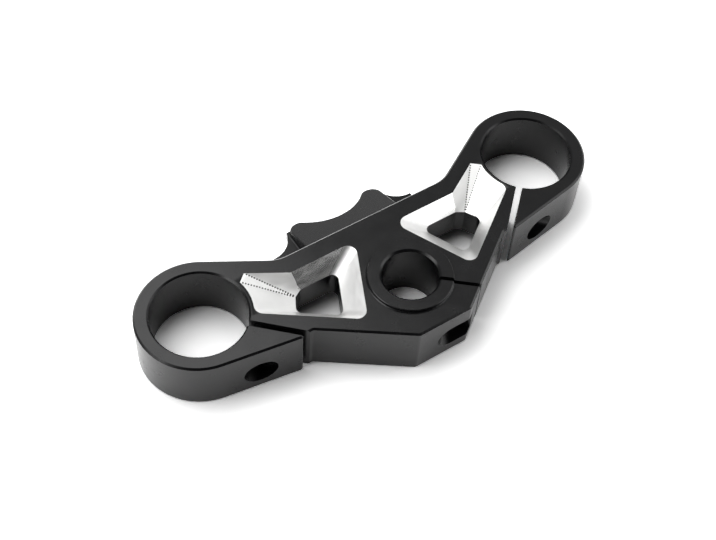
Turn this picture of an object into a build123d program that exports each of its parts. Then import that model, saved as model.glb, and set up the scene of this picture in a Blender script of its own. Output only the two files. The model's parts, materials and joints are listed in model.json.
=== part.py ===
"""Upper triple clamp of a motorcycle fork, milled from one piece of aluminium.

Millimetres, +Z up. The steering stem axis is X = Y = 0 and the flat underside is Z = 0.
The fork bores lie to +X and -X, the bracket for the steering lock points to +Y.
"""
import math
import os

from build123d import *

# body
FORK_SPACING = 206.0
STEM_OFFSET = 36.0
BODY_HEIGHT = 31.0
FORK_BORE = 50.0
RING_WALL = 7.7
STEM_BORE = 30.0
REAR_WALL = 8.5
REAR_SLOPE = 30.0
REAR_BLEND = 20.0
NOSE_REACH = 32.2
NOSE_HALF_WIDTH = 15.9
NOSE_BLEND = 3.0
EDGE_BREAK = 1.0
FOOT_BREAK = 0.6
BORE_BREAK = 0.9

# clamping ears and slits
EAR_SLOPE = 8.8
EAR_LENGTH = 42.4
EAR_END = 1.5
EAR_STEP = 5.7
EAR_STEP_ANGLE = 1.8
EAR_TIP_BLEND = 1.5
EAR_ROOT_BLEND = 2.0
FORK_SLIT_WIDTH = 3.4
FORK_SLIT_ANGLE = 43.8
STEM_SLIT_WIDTH = 2.1
STEM_SLIT_ANGLE = 40.0

# raised seat for the stem nut
SEAT_RADIUS = 22.5
SEAT_HEIGHT = 2.0
SEAT_COVE = 0.6
SEAT_BREAK = 0.4
STEM_BREAK = 1.1

# milled pockets and windows
POCKET_DEPTH = 8.5
POCKET_LAND = 1.6
POCKET_FLANK_RIM = 8.65
POCKET_REAR_RIM = 10.7
POCKET_FRONT_RIM = 7.7
POCKET_STEM_RADIUS = 25.1
POCKET_STEM_ANGLE = 25.5
POCKET_CORNER = 5.0
POCKET_BEND = 3.0
POCKET_TAIL_CUT = 9.0
LIP_REAR_RUN = 6.7
LIP_STEM_RUN = 10.6
LIP_FRONT_RUN = 7.2
LIP_FORK_RADIUS = 48.4
LIP_CLIP = 3.0
LIP_CORNER = 3.4
LIP_CLIP_CORNER = 0.9
RELIEF_MARGIN = 6.0
RELIEF_DEPTH = 7.0

# pinch bolts
BOLT_CLEARANCE = 8.5
BOLT_TAP = 6.8
BOLT_TAP_DEPTH = 19.0
BOLT_TO_BORE = 10.2
HEAD_RECESS = 15.0
FORK_BOLT_HEIGHT = 12.4
FORK_HEAD_SEAT = 7.5
STEM_HEAD_RECESS = 14.0
STEM_BOLT_HEIGHT = 13.5
STEM_HEAD_SEAT = 9.5

# steering lock bracket
BRACKET_HALF_WIDTH = 29.0
BRACKET_REACH = 38.7
BRACKET_ROOT_RISE = 13.3
BRACKET_TIP_RISE = 2.2
LOCK_STANDOFF = 16.8
LUG_WIDTH = 8.6
LUG_INNER_CORNER = 5.0
LUG_FLAT = 0.2
LUG_BREAK = 0.5
FLANGE_HEIGHT = 5.6
FLANGE_INSET = 1.6
FLANGE_LEDGE = 0.7
FLANGE_SWEEP = 14.6
FLANGE_LIFT = 3.0
FLANGE_TOE = 0.5
FLANGE_COVE = 0.8
LUG_TAP = 6.8
LUG_TAP_DEPTH = 7.0
LUG_HOLE_SIDE = 8.5
LUG_HOLE_INSET = 9.2

QUARTER_TURN = 90.0
HALF_TURN = 180.0
RING_RADIUS = FORK_BORE / 2 + RING_WALL
FORK_X = FORK_SPACING / 2
FORK_Y = STEM_OFFSET
REAR_Y = FORK_Y + REAR_WALL
TIP_Y = FORK_Y + BRACKET_REACH


def polar(origin, radius, angle):
    """Point at a radius and an angle in degrees about an origin."""
    turn = math.radians(angle)
    return (origin[0] + radius * math.cos(turn), origin[1] + radius * math.sin(turn))


def line_through(point, angle):
    """Line in normal form (angle of its normal, distance from the stem axis)."""
    turn = math.radians(angle)
    return (angle, point[0] * math.cos(turn) + point[1] * math.sin(turn))


def shift(line, distance):
    """Line moved along its own normal."""
    return (line[0], line[1] + distance)


def meet(first, second):
    """Point where two lines in normal form meet."""
    a, d = math.radians(first[0]), first[1]
    b, e = math.radians(second[0]), second[1]
    det = math.sin(b - a)
    return ((d * math.sin(b) - e * math.sin(a)) / det, (e * math.cos(a) - d * math.cos(b)) / det)


def meet_circle(line, centre, radius):
    """Point nearer to the stem where a line meets a circle."""
    turn = math.radians(line[0])
    normal = (math.cos(turn), math.sin(turn))
    gap = line[1] - centre[0] * normal[0] - centre[1] * normal[1]
    foot = (centre[0] + gap * normal[0], centre[1] + gap * normal[1])
    half = math.sqrt(radius**2 - gap**2)
    ends = [(foot[0] - half * normal[1], foot[1] + half * normal[0])]
    ends.append((foot[0] + half * normal[1], foot[1] - half * normal[0]))
    return min(ends)


# plan lines of the right half
fork = (FORK_X, FORK_Y)
rear_wall = (QUARTER_TURN, REAR_Y)
flank_touch = polar(fork, RING_RADIUS, QUARTER_TURN + REAR_SLOPE)
flank_wall = line_through(flank_touch, QUARTER_TURN + REAR_SLOPE)
rear_corner = meet(rear_wall, flank_wall)
ear_touch = polar(fork, RING_RADIUS, EAR_SLOPE - QUARTER_TURN)
ear_tip = polar(ear_touch, EAR_LENGTH, HALF_TURN + EAR_SLOPE)
ear_end = polar(ear_tip, EAR_END, QUARTER_TURN + FORK_SLIT_ANGLE)
ear_root = polar(ear_end, EAR_STEP, HALF_TURN - EAR_STEP_ANGLE)
nose_corner = (NOSE_HALF_WIDTH, -NOSE_REACH)
front_slope = math.degrees(math.atan2(ear_root[1] - nose_corner[1], ear_root[0] - nose_corner[0]))
front_wall = line_through(nose_corner, front_slope - QUARTER_TURN)

# pocket outline on the top face and window outline at the pocket floor
pocket_flank = shift(flank_wall, -POCKET_FLANK_RIM)
pocket_rear = shift(rear_wall, -POCKET_REAR_RIM)
pocket_stem = (POCKET_STEM_ANGLE, POCKET_STEM_RADIUS)
pocket_front = shift(front_wall, -POCKET_FRONT_RIM)
pocket_radius = FORK_BORE / 2 + BORE_BREAK + POCKET_LAND
point_a = meet_circle(pocket_flank, fork, pocket_radius)
point_b = meet(pocket_flank, pocket_rear)
point_c = meet(pocket_rear, pocket_stem)
point_d = meet(pocket_stem, pocket_front)
point_e = meet_circle(pocket_front, fork, pocket_radius)
lip_rear = shift(pocket_rear, -LIP_REAR_RUN)
lip_stem = shift(pocket_stem, LIP_STEM_RUN)
lip_front = shift(pocket_front, -LIP_FRONT_RUN)
lip_fork = line_through(polar(fork, LIP_FORK_RADIUS, HALF_TURN + REAR_SLOPE), REAR_SLOPE)
lip_corner = meet(lip_rear, lip_fork)
lip_points = [
    polar(lip_corner, LIP_CLIP, REAR_SLOPE - QUARTER_TURN),
    (lip_corner[0] - LIP_CLIP, lip_corner[1]),
    meet(lip_rear, lip_stem),
    meet(lip_stem, lip_front),
    meet(lip_front, lip_fork),
]

# body blank with its edges broken
with BuildPart() as blank:
    with BuildSketch() as plan:
        with BuildLine():
            Polyline(
                (0, REAR_Y),
                rear_corner,
                flank_touch,
                fork,
                ear_touch,
                ear_tip,
                ear_end,
                ear_root,
                nose_corner,
                (0, -NOSE_REACH),
                close=True,
            )
        make_face()
        with Locations(fork):
            Circle(RING_RADIUS)
        fillet(plan.vertices().sort_by_distance((*rear_corner, 0))[0], REAR_BLEND)
        fillet(plan.vertices().sort_by_distance((*ear_tip, 0))[0], EAR_TIP_BLEND)
        fillet(plan.vertices().sort_by_distance((*ear_root, 0))[0], EAR_ROOT_BLEND)
        fillet(plan.vertices().sort_by_distance((*nose_corner, 0))[0], NOSE_BLEND)
        mirror(about=Plane.YZ)
    extrude(amount=BODY_HEIGHT)
    chamfer(blank.faces().sort_by(Axis.Z)[-1].outer_wire().edges(), EDGE_BREAK)
    chamfer(blank.faces().sort_by(Axis.Z)[0].outer_wire().edges(), FOOT_BREAK)

# bracket: thin flange with a sloping block whose two lugs take the lock
lock = (0, TIP_Y + LOCK_STANDOFF)
lug_inside = BRACKET_HALF_WIDTH - LUG_WIDTH
lock_radius = math.hypot(lug_inside, LOCK_STANDOFF)
inner_corner_x = math.sqrt((lock_radius + LUG_INNER_CORNER) ** 2 - (LOCK_STANDOFF + LUG_INNER_CORNER) ** 2)
lug_outer_corner = BRACKET_HALF_WIDTH - LUG_FLAT - inner_corner_x
lug_axis = (BRACKET_HALF_WIDTH - lug_outer_corner, TIP_Y - lug_outer_corner)
sweep_x = BRACKET_HALF_WIDTH + FLANGE_LEDGE + math.sqrt(FLANGE_SWEEP**2 - FLANGE_LIFT**2)
sweep_y = TIP_Y - FLANGE_INSET + FLANGE_LIFT
with BuildPart() as bracket:
    with BuildSketch() as block:
        with Locations((0, FORK_Y)):
            Rectangle(2 * BRACKET_HALF_WIDTH, BRACKET_REACH, align=(Align.CENTER, Align.MIN))
        with Locations(lock):
            Circle(lock_radius, mode=Mode.SUBTRACT)
        lug_ends = block.vertices().group_by(Axis.Y)[-1].sort_by(Axis.X)
        fillet([lug_ends[0], lug_ends[-1]], lug_outer_corner)
        lug_ends = block.vertices().group_by(Axis.Y)[-1].sort_by(Axis.X)
        fillet(lug_ends[1:3], LUG_INNER_CORNER)
    extrude(amount=BODY_HEIGHT - EDGE_BREAK)
    with BuildSketch(Plane.YZ):
        with BuildLine():
            Polyline(
                (REAR_Y, FLANGE_HEIGHT + BRACKET_ROOT_RISE),
                (TIP_Y, FLANGE_HEIGHT + BRACKET_TIP_RISE),
                (TIP_Y, BODY_HEIGHT),
                (REAR_Y, BODY_HEIGHT),
                close=True,
            )
        make_face()
    extrude(amount=BRACKET_HALF_WIDTH, both=True, mode=Mode.SUBTRACT)
    slope = bracket.faces(Select.LAST).sort_by(SortBy.AREA)[-1]
    chamfer(slope.edges().filter_by(lambda edge: edge.center().Y > REAR_Y + LUG_BREAK), LUG_BREAK)
    with BuildSketch() as flange:
        with Locations((lug_axis[0], FORK_Y)):
            Rectangle(
                sweep_x + FLANGE_TOE - lug_axis[0],
                BRACKET_REACH - FLANGE_INSET,
                align=(Align.MIN, Align.MIN),
            )
        with Locations((sweep_x, sweep_y)):
            Circle(FLANGE_SWEEP, mode=Mode.SUBTRACT)
        mirror(about=Plane.YZ)
    extrude(amount=FLANGE_HEIGHT)
    foot = bracket.faces().sort_by(Axis.Z)[0].outer_wire().edges()
    chamfer(foot.filter_by(lambda edge: edge.center().Y > FORK_Y + FOOT_BREAK), FOOT_BREAK)

# cove along the block's side and round its lug, down to the flange
with BuildPart() as cove:
    with BuildSketch(Plane.XZ.offset(-lug_axis[1])) as section:
        with BuildLine():
            Polyline(
                (BRACKET_HALF_WIDTH, FLANGE_HEIGHT + FLANGE_COVE),
                (BRACKET_HALF_WIDTH, FLANGE_HEIGHT),
                (BRACKET_HALF_WIDTH + FLANGE_COVE, FLANGE_HEIGHT),
            )
            CenterArc(
                (BRACKET_HALF_WIDTH + FLANGE_COVE, FLANGE_HEIGHT + FLANGE_COVE),
                FLANGE_COVE,
                HALF_TURN,
                QUARTER_TURN,
            )
        make_face()
    extrude(amount=lug_axis[1] - FORK_Y)
    revolve(section.sketch, axis=Axis((*lug_axis, 0), (0, 0, 1)), revolution_arc=QUARTER_TURN)
    with BuildSketch():
        add(flange.sketch)
    extrude(amount=FLANGE_HEIGHT + FLANGE_COVE, mode=Mode.INTERSECT)

# one pocket with its window and the relief under it
with BuildPart() as pocket:
    with BuildSketch(Plane.XY.offset(BODY_HEIGHT - POCKET_DEPTH)) as lip:
        with BuildLine():
            Polyline(*lip_points, close=True)
        make_face()
        rest = lip.vertices().sort_by_distance((*lip_corner, 0))[2:]
        fillet(rest, LIP_CORNER)
        clip = lip.vertices().sort_by_distance((*lip_corner, 0))[0:2]
        fillet(clip, LIP_CLIP_CORNER)
    with BuildSketch(Plane.XY.offset(BODY_HEIGHT)) as mouth:
        with BuildLine():
            Polyline(point_a, point_b, point_c, point_d, point_e)
            ThreePointArc(point_e, polar(fork, pocket_radius, HALF_TURN), point_a)
        make_face()
        chamfer(mouth.vertices().sort_by_distance((*point_a, 0))[0], POCKET_TAIL_CUT)
        fillet(mouth.vertices().sort_by_distance((*point_b, 0))[0], POCKET_BEND)
        for corner in (point_c, point_d, point_e):
            fillet(mouth.vertices().sort_by_distance((*corner, 0))[0], POCKET_CORNER)
    loft(ruled=True)
    extrude(lip.sketch, amount=BODY_HEIGHT - POCKET_DEPTH, dir=(0, 0, -1))
    with BuildSketch():
        with BuildLine():
            Polyline(*lip_points, close=True)
        make_face()
        offset(amount=RELIEF_MARGIN)
    extrude(amount=RELIEF_DEPTH)

# pinch bolt axes, each square to its slit and pointing out through the ear
fork_cross = polar(fork, FORK_BORE / 2 + BOLT_TO_BORE, HALF_TURN + FORK_SLIT_ANGLE)
fork_bolt = Plane(
    origin=(*fork_cross, FORK_BOLT_HEIGHT),
    x_dir=(*polar((0, 0), 1.0, HALF_TURN + FORK_SLIT_ANGLE), 0),
    z_dir=(*polar((0, 0), 1.0, FORK_SLIT_ANGLE - QUARTER_TURN), 0),
)
stem_cross = polar((0, 0), STEM_BORE / 2 + BOLT_TO_BORE, -STEM_SLIT_ANGLE)
stem_bolt = Plane(
    origin=(*stem_cross, STEM_BOLT_HEIGHT),
    x_dir=(*polar((0, 0), 1.0, -STEM_SLIT_ANGLE), 0),
    z_dir=(*polar((0, 0), 1.0, -QUARTER_TURN - STEM_SLIT_ANGLE), 0),
)

# slit, bolt hole, thread bore and head recess of one fork clamp
with BuildPart() as fork_pinch:
    with BuildSketch():
        with Locations(Location((FORK_X, FORK_Y, 0), (0, 0, HALF_TURN + FORK_SLIT_ANGLE))):
            Rectangle(RING_RADIUS + EAR_LENGTH, FORK_SLIT_WIDTH, align=(Align.MIN, Align.CENTER))
    extrude(amount=BODY_HEIGHT)
    with BuildSketch(fork_bolt):
        Circle(BOLT_CLEARANCE / 2)
    extrude(amount=RING_RADIUS)
    with BuildSketch(fork_bolt):
        Circle(BOLT_TAP / 2)
    extrude(amount=-BOLT_TAP_DEPTH)
    with BuildSketch(fork_bolt.offset(FORK_HEAD_SEAT)):
        Circle(HEAD_RECESS / 2)
    extrude(amount=RING_RADIUS)

# the same for the stem clamp, with a head recess that runs out of the nose
with BuildPart() as stem_pinch:
    with BuildSketch():
        with Locations(Location((0, 0, 0), (0, 0, -STEM_SLIT_ANGLE))):
            Rectangle(2 * NOSE_REACH, STEM_SLIT_WIDTH, align=(Align.MIN, Align.CENTER))
    extrude(amount=BODY_HEIGHT + SEAT_HEIGHT)
    with BuildSketch(stem_bolt):
        Circle(BOLT_CLEARANCE / 2)
    extrude(amount=NOSE_REACH)
    with BuildSketch(stem_bolt):
        Circle(BOLT_TAP / 2)
    extrude(amount=-BOLT_TAP_DEPTH)
    with BuildSketch(stem_bolt.offset(STEM_HEAD_SEAT)):
        Circle(STEM_HEAD_RECESS / 2)
        Rectangle(NOSE_REACH, STEM_HEAD_RECESS, align=(Align.MIN, Align.CENTER))
    extrude(amount=NOSE_REACH)

# the finished clamp
with BuildPart() as triple_clamp:
    add(blank.part)
    add(bracket.part)
    add(cove.part)
    mirror(cove.part, about=Plane.YZ)
    with Locations((0, 0, BODY_HEIGHT)):
        Cylinder(SEAT_RADIUS, SEAT_HEIGHT, align=(Align.CENTER, Align.CENTER, Align.MIN))
    circles = triple_clamp.edges().filter_by(GeomType.CIRCLE)
    seat_rims = circles.filter_by(lambda rim: abs(rim.radius - SEAT_RADIUS) < 0.01)
    fillet(seat_rims.sort_by(Axis.Z)[-1], SEAT_BREAK)
    circles = triple_clamp.edges().filter_by(GeomType.CIRCLE)
    seat_rims = circles.filter_by(lambda rim: abs(rim.radius - SEAT_RADIUS) < 0.01)
    fillet(seat_rims.sort_by(Axis.Z)[0], SEAT_COVE)
    with Locations((FORK_X, FORK_Y), (-FORK_X, FORK_Y)):
        Hole(FORK_BORE / 2)
    circles = triple_clamp.edges().filter_by(GeomType.CIRCLE)
    chamfer(circles.filter_by(lambda rim: abs(rim.radius - FORK_BORE / 2) < 0.01), BORE_BREAK)
    with Locations((0, 0)):
        Hole(STEM_BORE / 2)
    circles = triple_clamp.edges().filter_by(GeomType.CIRCLE)
    stem_rims = circles.filter_by(lambda rim: abs(rim.radius - STEM_BORE / 2) < 0.01)
    chamfer(stem_rims.sort_by(Axis.Z)[-1], STEM_BREAK)
    add(pocket.part, mode=Mode.SUBTRACT)
    mirror(pocket.part, about=Plane.YZ, mode=Mode.SUBTRACT)
    add(fork_pinch.part, mode=Mode.SUBTRACT)
    mirror(fork_pinch.part, about=Plane.YZ, mode=Mode.SUBTRACT)
    add(stem_pinch.part, mode=Mode.SUBTRACT)
    with BuildSketch():
        lug_hole_x = BRACKET_HALF_WIDTH - LUG_HOLE_SIDE
        lug_hole_y = TIP_Y - LUG_HOLE_INSET
        with Locations((lug_hole_x, lug_hole_y), (-lug_hole_x, lug_hole_y)):
            Circle(LUG_TAP / 2)
    extrude(amount=LUG_TAP_DEPTH, mode=Mode.SUBTRACT)

triple_clamp.part.label = "triple_clamp"
os.makedirs("parts", exist_ok=True)
export_step(triple_clamp.part, "parts/triple_clamp.step")
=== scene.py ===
"""Studio picture of a motorcycle triple clamp, black anodised, with two pockets milled bright."""

import json
import math

import bmesh
import bpy
from mathutils import Matrix, Vector


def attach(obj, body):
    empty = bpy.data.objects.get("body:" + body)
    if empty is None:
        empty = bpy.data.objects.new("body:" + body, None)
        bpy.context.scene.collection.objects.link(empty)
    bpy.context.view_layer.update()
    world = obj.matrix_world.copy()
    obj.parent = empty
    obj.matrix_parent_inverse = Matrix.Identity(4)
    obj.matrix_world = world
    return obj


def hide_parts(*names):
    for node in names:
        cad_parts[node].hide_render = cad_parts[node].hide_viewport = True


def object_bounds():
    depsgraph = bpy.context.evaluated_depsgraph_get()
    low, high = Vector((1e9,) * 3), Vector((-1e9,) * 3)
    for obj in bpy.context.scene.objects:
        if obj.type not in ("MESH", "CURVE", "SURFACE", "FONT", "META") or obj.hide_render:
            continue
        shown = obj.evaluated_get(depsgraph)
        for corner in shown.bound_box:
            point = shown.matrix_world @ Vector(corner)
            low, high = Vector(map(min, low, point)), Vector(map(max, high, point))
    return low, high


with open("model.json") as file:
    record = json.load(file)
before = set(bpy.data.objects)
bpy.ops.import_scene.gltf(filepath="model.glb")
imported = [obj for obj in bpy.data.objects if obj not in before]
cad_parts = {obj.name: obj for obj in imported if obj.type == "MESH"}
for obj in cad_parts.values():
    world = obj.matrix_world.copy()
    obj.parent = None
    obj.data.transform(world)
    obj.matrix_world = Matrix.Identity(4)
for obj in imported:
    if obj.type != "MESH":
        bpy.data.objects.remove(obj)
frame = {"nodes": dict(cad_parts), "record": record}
cad_low, cad_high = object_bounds()

MM = 0.001

# The photograph's frame and the camera that was fitted to it
PHOTO_WIDTH = 716
FOCAL_PIXELS = 1292.0
PRINCIPAL_POINT = (376.2, 270.2)
PHOTO_CENTRE = (358.0, 270.0)
CAMERA_TARGET = Vector((-12.8, 12.3, 31.0)) * MM
CAMERA_AZIMUTH = math.radians(-38.2)
CAMERA_ELEVATION = math.radians(54.09)
CAMERA_ROLL = math.radians(5.65)
CAMERA_DISTANCE = 663.2 * MM
SENSOR_WIDTH_MM = 36.0
NEAREST_SEEN = 10.0 * MM

# The raised seat of the stem nut
TOP_FACE = 31.0 * MM
SEAT_FACE = 33.0 * MM
SEAT_RADIUS = 22.5 * MM
SEAT_BREAK = 0.4 * MM
SEAT_FOOT = 0.6 * MM

# The pockets, whose flanks are told apart by the way their faces point
POCKET_LIP = 22.5 * MM
FLANK_STEEPEST_Z = 0.15
FLANK_FLATTEST_Z = 0.97
REAR_FLANK_Y = -0.74
REAR_FLANK_SKEW = 0.1
TAIL_START = 49.0 * MM
TAIL_FLANK_Y = -0.16

# The ball mill's cusps, along creases longer than TAIL_CREASE that bend by more than CREASE_ANGLE
TAIL_CREASE = 25.0 * MM
CREASE_ANGLE = math.radians(12)
# The real pitch is about 1.15 mm, and it is drawn coarser so that it shows
CUSP_PITCH = 1.45 * MM
CUSP_RADIUS = 0.45 * MM
CUSP_LENGTH = 0.6 * MM
CUSP_RISE = 0.25 * MM
CUSP_SIDES = 10
# They lean to the front, chosen so that they mirror the room's unlit side and read as dark dots
CUSP_FACING = Vector((0.0, -0.6, 0.8))

# How the solid's triangles are joined, matched to surfaces and shaded
MERGE_DISTANCE = 0.001 * MM
SURFACE_MATCH = 0.03 * MM
SHARP_EDGE = math.radians(28)

# The order of the finishes on the clamp
BLASTED, BORED, MILLED, FINE_MILLED, BALL_MILLED = range(5)

# Colours of the finishes, at their darkest and their lightest
ANODISED_COLOURS = ("#09090A", "#0F0F10")
MILLED_COLOURS = ("#EBEBEA", "#F4F4F3")

# Roughness of the finishes, at their smoothest and their roughest
ANODISED_GLOSS = (0.22, 0.28)
# An end mill leaves a soft sheen
BRIGHT_MILLED_GLOSS = (0.40, 0.46)
# A slow finishing cut mirrors the room more clearly, and so turns dark where the room is dark
FINE_MILLED_GLOSS = (0.20, 0.26)
# A ball mill's shallow scallops spread the light widely
BALL_MILLED_GLOSS = (0.62, 0.72)

# Sizes of the finishes' patterns
BLAST_CLOUD = 9.0 * MM
MILL_CLOUD = 7.0 * MM
MILL_CLOUD_FLATNESS = 4.0
# Blasted grain, boring rings and milling passes are usually finer, and are drawn coarser so that they show
BLAST_GRAIN = 0.35 * MM
RING_PITCH = 0.5 * MM
PASS_PITCH = 0.45 * MM
RELIEF_DEPTH = 0.02 * MM
# The length of one band of a wave texture at a scale of 1
WAVE_BAND = 0.314
# The part of a noise texture's range that most of its values lie in
CLOUD_LOW = 0.3
CLOUD_HIGH = 0.7
# A Mix node's sockets for colours, whose names repeat for each kind of data
MIX_FIRST = 6
MIX_SECOND = 7
MIX_RESULT = 2

# The floor's sheet of paper
FLOOR_SIZE = 8.0
FLOOR_DROP = 0.02 * MM
# The share of light that the paper gives back, and the raised one that the camera and reflections see
PAPER_LIGHT = 0.85
PAPER_SEEN = 1.65

# The lamps' sizes and places in metres, and their radiance
SOFTBOX_SIZE = 0.9
SOFTBOX_PLACE = Vector((-0.18, 0.50, 0.88))
SOFTBOX_RADIANCE = 3.2
CARD_WIDTH = 0.30
CARD_HEIGHT = 0.18
CARD_PLACE = Vector((0.25, -0.20, 0.09))
CARD_RADIANCE = 1.6
STRIP_WIDTH = 0.75
STRIP_HEIGHT = 0.22
STRIP_DISTANCE = 1.1
STRIP_AZIMUTH = math.radians(-104)
STRIP_ELEVATION = math.radians(28)
STRIP_RADIANCE = 5.0

# The room's light, between two heights on a sphere of radius 1 round the clamp
LOW_WALL_HEIGHT = 0.45
HIGH_WALL_HEIGHT = 0.72
LOW_WALL_LIGHT = 1.35
HIGH_WALL_LIGHT = 0.72
# The room's unlit sides, in degrees: full shade reaches to core from a side's middle, and fades out by edge
SHADED_SIDES = {
    "behind_camera": {"azimuth": -11, "elevation": 41, "core": 40, "edge": 49, "light_left": 0.03},
    "back_left": {"azimuth": -152, "elevation": 14, "core": 26, "edge": 46, "light_left": 0.3},
}


def linear(hex_colour):
    """The linear colour of an sRGB hex value."""
    channels = [int(hex_colour[i : i + 2], 16) / 255 for i in (1, 3, 5)]
    return [c / 12.92 if c <= 0.04045 else ((c + 0.055) / 1.055) ** 2.4 for c in channels] + [1.0]


def direction(azimuth, elevation):
    """The way to a place round the clamp: azimuth 0 is in front of it, and 90 degrees on its right."""
    level = math.cos(elevation)
    return Vector((math.sin(azimuth) * level, -math.cos(azimuth) * level, math.sin(elevation)))


def add_node(tree, kind, links=None, sockets=None, **settings):
    """Adds a node with its settings, its sockets' values and the links that come into it."""
    node = tree.nodes.new(kind)
    for name, value in settings.items():
        setattr(node, name, value)
    for name, value in (sockets or {}).items():
        node.inputs[name].default_value = value
    for name, output in (links or {}).items():
        tree.links.new(output, node.inputs[name])
    return node


def new_material(name):
    """An empty node material and its tree."""
    material = bpy.data.materials.new(name)
    material.use_nodes = True
    material.node_tree.nodes.clear()
    return material, material.node_tree


def finish_metal(tree, cloud, relief, colours, glosses, sockets):
    """Ends a metal's nodes: its colour and its gloss drift together with the cloud, over the relief."""
    colour = add_node(
        tree,
        "ShaderNodeMix",
        {"Factor": cloud.outputs["Fac"]},
        {MIX_FIRST: linear(colours[0]), MIX_SECOND: linear(colours[1])},
        data_type="RGBA",
    )
    gloss = add_node(
        tree,
        "ShaderNodeMapRange",
        {"Value": cloud.outputs["Fac"]},
        {"From Min": CLOUD_LOW, "From Max": CLOUD_HIGH, "To Min": glosses[0], "To Max": glosses[1]},
    )
    shader = add_node(
        tree,
        "ShaderNodeBsdfPrincipled",
        {
            "Base Color": colour.outputs[MIX_RESULT],
            "Roughness": gloss.outputs["Result"],
            "Normal": relief.outputs["Normal"],
        },
        sockets,
    )
    add_node(tree, "ShaderNodeOutputMaterial", {"Surface": shader.outputs["BSDF"]})


def black_anodised(name, ring_pitch=None):
    """Bead-blasted aluminium under a dyed oxide film: near black, with a satin gloss that the fine
    blasted grain breaks up a little. Bored walls also carry the boring tool's fine rings."""
    material, tree = new_material(name)
    place = add_node(tree, "ShaderNodeTexCoord").outputs["Object"]
    cloud = add_node(
        tree,
        "ShaderNodeTexNoise",
        {"Vector": place},
        {"Scale": 1 / BLAST_CLOUD, "Detail": 3.0},
    )
    grain = add_node(
        tree,
        "ShaderNodeTexNoise",
        {"Vector": place},
        {"Scale": 1 / BLAST_GRAIN, "Detail": 2.0},
    )
    relief = add_node(
        tree,
        "ShaderNodeBump",
        {"Height": grain.outputs["Fac"]},
        {"Strength": 0.35, "Distance": RELIEF_DEPTH},
    )
    if ring_pitch:
        rings = add_node(
            tree,
            "ShaderNodeTexWave",
            {"Vector": place},
            {"Scale": WAVE_BAND / ring_pitch, "Distortion": 0.4, "Detail": 1.0},
            bands_direction="Z",
        )
        relief = add_node(
            tree,
            "ShaderNodeBump",
            {"Height": rings.outputs["Fac"], "Normal": relief.outputs["Normal"]},
            {"Strength": 0.3, "Distance": RELIEF_DEPTH},
        )
    film = {"IOR": 1.5, "Specular IOR Level": 0.3}
    finish_metal(tree, cloud, relief, ANODISED_COLOURS, ANODISED_GLOSS, film)
    return material


def milled_aluminium(name, glosses):
    """Bare aluminium cut bright by a mill at steps of height: a metal sheen that drifts a little in broad
    patches, with faint level lines left by the passes."""
    material, tree = new_material(name)
    place = add_node(tree, "ShaderNodeTexCoord").outputs["Object"]
    passes = add_node(
        tree,
        "ShaderNodeTexWave",
        {"Vector": place},
        {"Scale": WAVE_BAND / PASS_PITCH, "Distortion": 0.6, "Detail": 2.0},
        bands_direction="Z",
    )
    flattened = add_node(
        tree,
        "ShaderNodeMapping",
        {"Vector": place},
        {"Scale": (1.0, 1.0, MILL_CLOUD_FLATNESS)},
    )
    cloud = add_node(
        tree,
        "ShaderNodeTexNoise",
        {"Vector": flattened.outputs["Vector"]},
        {"Scale": 1 / MILL_CLOUD, "Detail": 1.5},
    )
    relief = add_node(
        tree,
        "ShaderNodeBump",
        {"Height": passes.outputs["Fac"]},
        {"Strength": 0.12, "Distance": RELIEF_DEPTH},
    )
    finish_metal(tree, cloud, relief, MILLED_COLOURS, glosses, {"Metallic": 1.0})
    return material


def merged_copy(node):
    """The triangles of a solid, joined into one closed mesh."""
    mesh = bmesh.new()
    mesh.from_mesh(frame["nodes"][node].data)
    bmesh.ops.remove_doubles(mesh, verts=mesh.verts, dist=MERGE_DISTANCE)
    for face in mesh.faces:
        face.material_index = BLASTED
    return mesh


def mark_pockets(mesh):
    """Gives the milled finishes to the pocket flanks, which run from the lip up to the top face."""
    def is_flank(face):
        return FLANK_STEEPEST_Z < face.normal.z < FLANK_FLATTEST_Z

    def at_lip(face):
        return any(abs(v.co.z - POCKET_LIP) < SURFACE_MATCH for v in face.verts)

    waiting = [f for f in mesh.faces if is_flank(f) and at_lip(f)]
    while waiting:
        face = waiting.pop()
        if face.material_index == MILLED:
            continue
        face.material_index = MILLED
        waiting += [f for e in face.edges for f in e.link_faces if is_flank(f)]
    for face in mesh.faces:
        if face.material_index != MILLED:
            continue
        if face.normal.y < REAR_FLANK_Y and abs(face.normal.x) < REAR_FLANK_SKEW:
            face.material_index = FINE_MILLED
        elif face.normal.y < TAIL_FLANK_Y and abs(face.calc_center_median().x) > TAIL_START:
            face.material_index = BALL_MILLED


def is_milled(face):
    """Whether a face belongs to a pocket flank."""
    return face.material_index in (MILLED, FINE_MILLED, BALL_MILLED)


def raise_tail_cusps(mesh):
    """Rows of small cusps that the steps of the ball mill left along both creases of each pocket's tail."""
    creases = [e for e in mesh.edges if e.is_manifold and e.calc_length() > TAIL_CREASE]
    creases = [e for e in creases if all(is_milled(f) for f in e.link_faces)]
    creases = [e for e in creases if e.calc_face_angle() > CREASE_ANGLE]
    rows = []
    for crease in creases:
        outward = sum((f.normal for f in crease.link_faces), Vector()).normalized()
        rows.append((crease.verts[0].co.copy(), crease.verts[1].co.copy(), outward))
    lean = CUSP_FACING.to_track_quat("Z", "Y").to_matrix().to_4x4()
    for start, end, outward in rows:
        steps = round((end - start).length / CUSP_PITCH)
        for step in range(1, steps):
            top = start.lerp(end, step / steps) + outward * CUSP_RISE
            cusp = bmesh.ops.create_cone(
                mesh,
                cap_ends=True,
                segments=CUSP_SIDES,
                radius1=CUSP_RADIUS,
                radius2=CUSP_RADIUS,
                depth=CUSP_LENGTH,
                matrix=Matrix.Translation(top - CUSP_FACING * CUSP_LENGTH / 2) @ lean,
            )
            for face in {f for v in cusp["verts"] for f in v.link_faces}:
                face.material_index = FINE_MILLED


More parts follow.
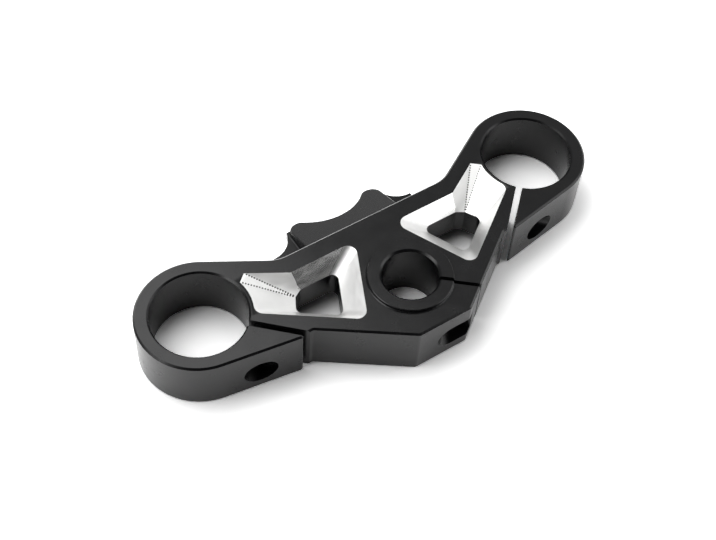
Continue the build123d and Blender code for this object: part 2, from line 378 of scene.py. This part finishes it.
def flatten_seat_edges(mesh):
    """Turns the raised seat's small edge rounds into the flat breaks that catch the light as two rings."""
    rim = SEAT_RADIUS - SEAT_BREAK
    foot = SEAT_RADIUS + SEAT_FOOT
    for vertex in mesh.verts:
        radius = vertex.co.xy.length
        height = vertex.co.z
        if rim < radius < SEAT_RADIUS and SEAT_FACE - SEAT_BREAK < height < SEAT_FACE:
            share = (radius - rim + SEAT_FACE - height) / (2 * SEAT_BREAK)
            new_radius, new_height = rim + SEAT_BREAK * share, SEAT_FACE - SEAT_BREAK * share
        elif SEAT_RADIUS < radius < foot and TOP_FACE < height < TOP_FACE + SEAT_FOOT:
            share = (foot - radius + height - TOP_FACE) / (2 * SEAT_FOOT)
            new_radius, new_height = foot - SEAT_FOOT * share, TOP_FACE + SEAT_FOOT * share
        else:
            continue
        vertex.co = (*(vertex.co.xy * new_radius / radius), new_height)


def mark_bores(mesh):
    """Gives the bored finish to the walls of the three clamping bores."""
    for mount in frame["record"]["mounts"]:
        if mount["kind"] != "clamp":
            continue
        radius = mount["dims"]["r_mm"] * MM
        centre = Vector(mount["pos_m"]).xy
        for face in mesh.faces:
            if all(abs((v.co.xy - centre).length - radius) < SURFACE_MATCH for v in face.verts):
                face.material_index = BORED


def clamp_body():
    """The one-piece clamp with its blasted, bored and milled surfaces."""
    mesh = merged_copy("triple_clamp")
    mark_pockets(mesh)
    raise_tail_cusps(mesh)
    flatten_seat_edges(mesh)
    mark_bores(mesh)
    for face in mesh.faces:
        face.smooth = True
    for edge in mesh.edges:
        edge.smooth = edge.is_manifold and edge.calc_face_angle() < SHARP_EDGE
    data = bpy.data.meshes.new("clamp_body")
    mesh.to_mesh(data)
    mesh.free()
    body = bpy.data.objects.new("clamp_body", data)
    bpy.context.collection.objects.link(body)
    finishes = [
        black_anodised("black_anodised_blasted_aluminium"),
        black_anodised("black_anodised_bored_aluminium", RING_PITCH),
        milled_aluminium("bright_milled_aluminium", BRIGHT_MILLED_GLOSS),
        milled_aluminium("fine_milled_aluminium", FINE_MILLED_GLOSS),
        milled_aluminium("ball_milled_aluminium", BALL_MILLED_GLOSS),
    ]
    for finish in finishes:
        data.materials.append(finish)
    shading = body.modifiers.new("flat_faces_stay_flat", "WEIGHTED_NORMAL")
    shading.keep_sharp = True
    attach(body, "root")
    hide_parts("triple_clamp")


def floor_paper():
    """Matt white paper: it keeps the soft shadow and reads white wherever nothing shades it."""
    material, tree = new_material("matt_white_paper")
    path = add_node(tree, "ShaderNodeLightPath")
    seen = add_node(
        tree,
        "ShaderNodeMath",
        {0: path.outputs["Is Camera Ray"], 1: path.outputs["Is Glossy Ray"]},
        operation="MAXIMUM",
    )
    tone = add_node(
        tree,
        "ShaderNodeMapRange",
        {"Value": seen.outputs["Value"]},
        {"To Min": PAPER_LIGHT, "To Max": PAPER_SEEN},
    )
    paper = add_node(tree, "ShaderNodeBsdfDiffuse", {"Color": tone.outputs["Result"]})
    add_node(tree, "ShaderNodeOutputMaterial", {"Surface": paper.outputs["BSDF"]})
    return material


def lay_floor():
    """The sheet of paper that the clamp lies on."""
    mesh = bmesh.new()
    bmesh.ops.create_grid(mesh, x_segments=1, y_segments=1, size=FLOOR_SIZE / 2)
    bmesh.ops.translate(mesh, verts=mesh.verts, vec=(0, 0, cad_low.z - FLOOR_DROP))
    data = bpy.data.meshes.new("floor")
    mesh.to_mesh(data)
    mesh.free()
    data.materials.append(floor_paper())
    floor = bpy.data.objects.new("floor", data)
    bpy.context.collection.objects.link(floor)


def hang_panel(name, place, width, height, radiance):
    """A flat, even lamp that faces the clamp."""
    lamp = bpy.data.lights.new(name, "AREA")
    lamp.shape = "RECTANGLE"
    lamp.size = width
    lamp.size_y = height
    lamp.energy = radiance * math.pi * width * height
    panel = bpy.data.objects.new(name, lamp)
    panel.location = place
    panel.rotation_euler = place.to_track_quat("Z", "Y").to_euler()
    bpy.context.collection.objects.link(panel)


def paint_room():
    """A pale room, brightest low down, with two unlit sides. To the camera it is never darker than
    white."""
    world = bpy.data.worlds.new("studio")
    bpy.context.scene.world = world
    world.use_nodes = True
    tree = world.node_tree
    tree.nodes.clear()
    place = add_node(tree, "ShaderNodeTexCoord").outputs["Generated"]
    height = add_node(tree, "ShaderNodeSeparateXYZ", {"Vector": place})
    walls = add_node(
        tree,
        "ShaderNodeMapRange",
        {"Value": height.outputs["Z"]},
        {
            "From Min": LOW_WALL_HEIGHT,
            "From Max": HIGH_WALL_HEIGHT,
            "To Min": LOW_WALL_LIGHT,
            "To Max": HIGH_WALL_LIGHT,
        },
        interpolation_type="SMOOTHSTEP",
    )
    light = walls.outputs["Result"]
    for side in SHADED_SIDES.values():
        nearness = add_node(
            tree,
            "ShaderNodeVectorMath",
            {0: place},
            {1: direction(math.radians(side["azimuth"]), math.radians(side["elevation"]))},
            operation="DOT_PRODUCT",
        )
        shade = add_node(
            tree,
            "ShaderNodeMapRange",
            {"Value": nearness.outputs["Value"]},
            {
                "From Min": math.cos(math.radians(side["edge"])),
                "From Max": math.cos(math.radians(side["core"])),
                "To Min": 1.0,
                "To Max": side["light_left"],
            },
            interpolation_type="SMOOTHSTEP",
        )
        shaded = add_node(
            tree,
            "ShaderNodeMath",
            {0: light, 1: shade.outputs["Result"]},
            operation="MULTIPLY",
        )
        light = shaded.outputs["Value"]
    path = add_node(tree, "ShaderNodeLightPath")
    strength = add_node(
        tree,
        "ShaderNodeMath",
        {0: light, 1: path.outputs["Is Camera Ray"]},
        operation="MAXIMUM",
    )
    room = add_node(tree, "ShaderNodeBackground", {"Strength": strength.outputs["Value"]})
    add_node(tree, "ShaderNodeOutputWorld", {"Surface": room.outputs["Background"]})


def set_camera():
    """The camera at the photograph's viewing angle."""
    back = direction(CAMERA_AZIMUTH, CAMERA_ELEVATION)
    upright = back.to_track_quat("Z", "Y").to_matrix()
    turned = upright @ Matrix.Rotation(CAMERA_ROLL, 3, "Z")
    lens = bpy.data.cameras.new("camera")
    lens.sensor_width = SENSOR_WIDTH_MM
    lens.lens = FOCAL_PIXELS / PHOTO_WIDTH * SENSOR_WIDTH_MM
    lens.shift_x = (PHOTO_CENTRE[0] - PRINCIPAL_POINT[0]) / PHOTO_WIDTH
    lens.shift_y = (PRINCIPAL_POINT[1] - PHOTO_CENTRE[1]) / PHOTO_WIDTH
    lens.clip_start = NEAREST_SEEN
    camera = bpy.data.objects.new("camera", lens)
    camera.matrix_world = Matrix.Translation(CAMERA_TARGET + back * CAMERA_DISTANCE) @ turned.to_4x4()
    bpy.context.collection.objects.link(camera)
    bpy.context.scene.camera = camera


clamp_body()
lay_floor()
strip_place = STRIP_DISTANCE * direction(STRIP_AZIMUTH, STRIP_ELEVATION)
hang_panel("overhead_softbox", SOFTBOX_PLACE, SOFTBOX_SIZE, SOFTBOX_SIZE, SOFTBOX_RADIANCE)
hang_panel("front_right_card", CARD_PLACE, CARD_WIDTH, CARD_HEIGHT, CARD_RADIANCE)
hang_panel("left_strip", strip_place, STRIP_WIDTH, STRIP_HEIGHT, STRIP_RADIANCE)
paint_room()
set_camera()
bpy.context.scene.view_settings.view_transform = "Standard"
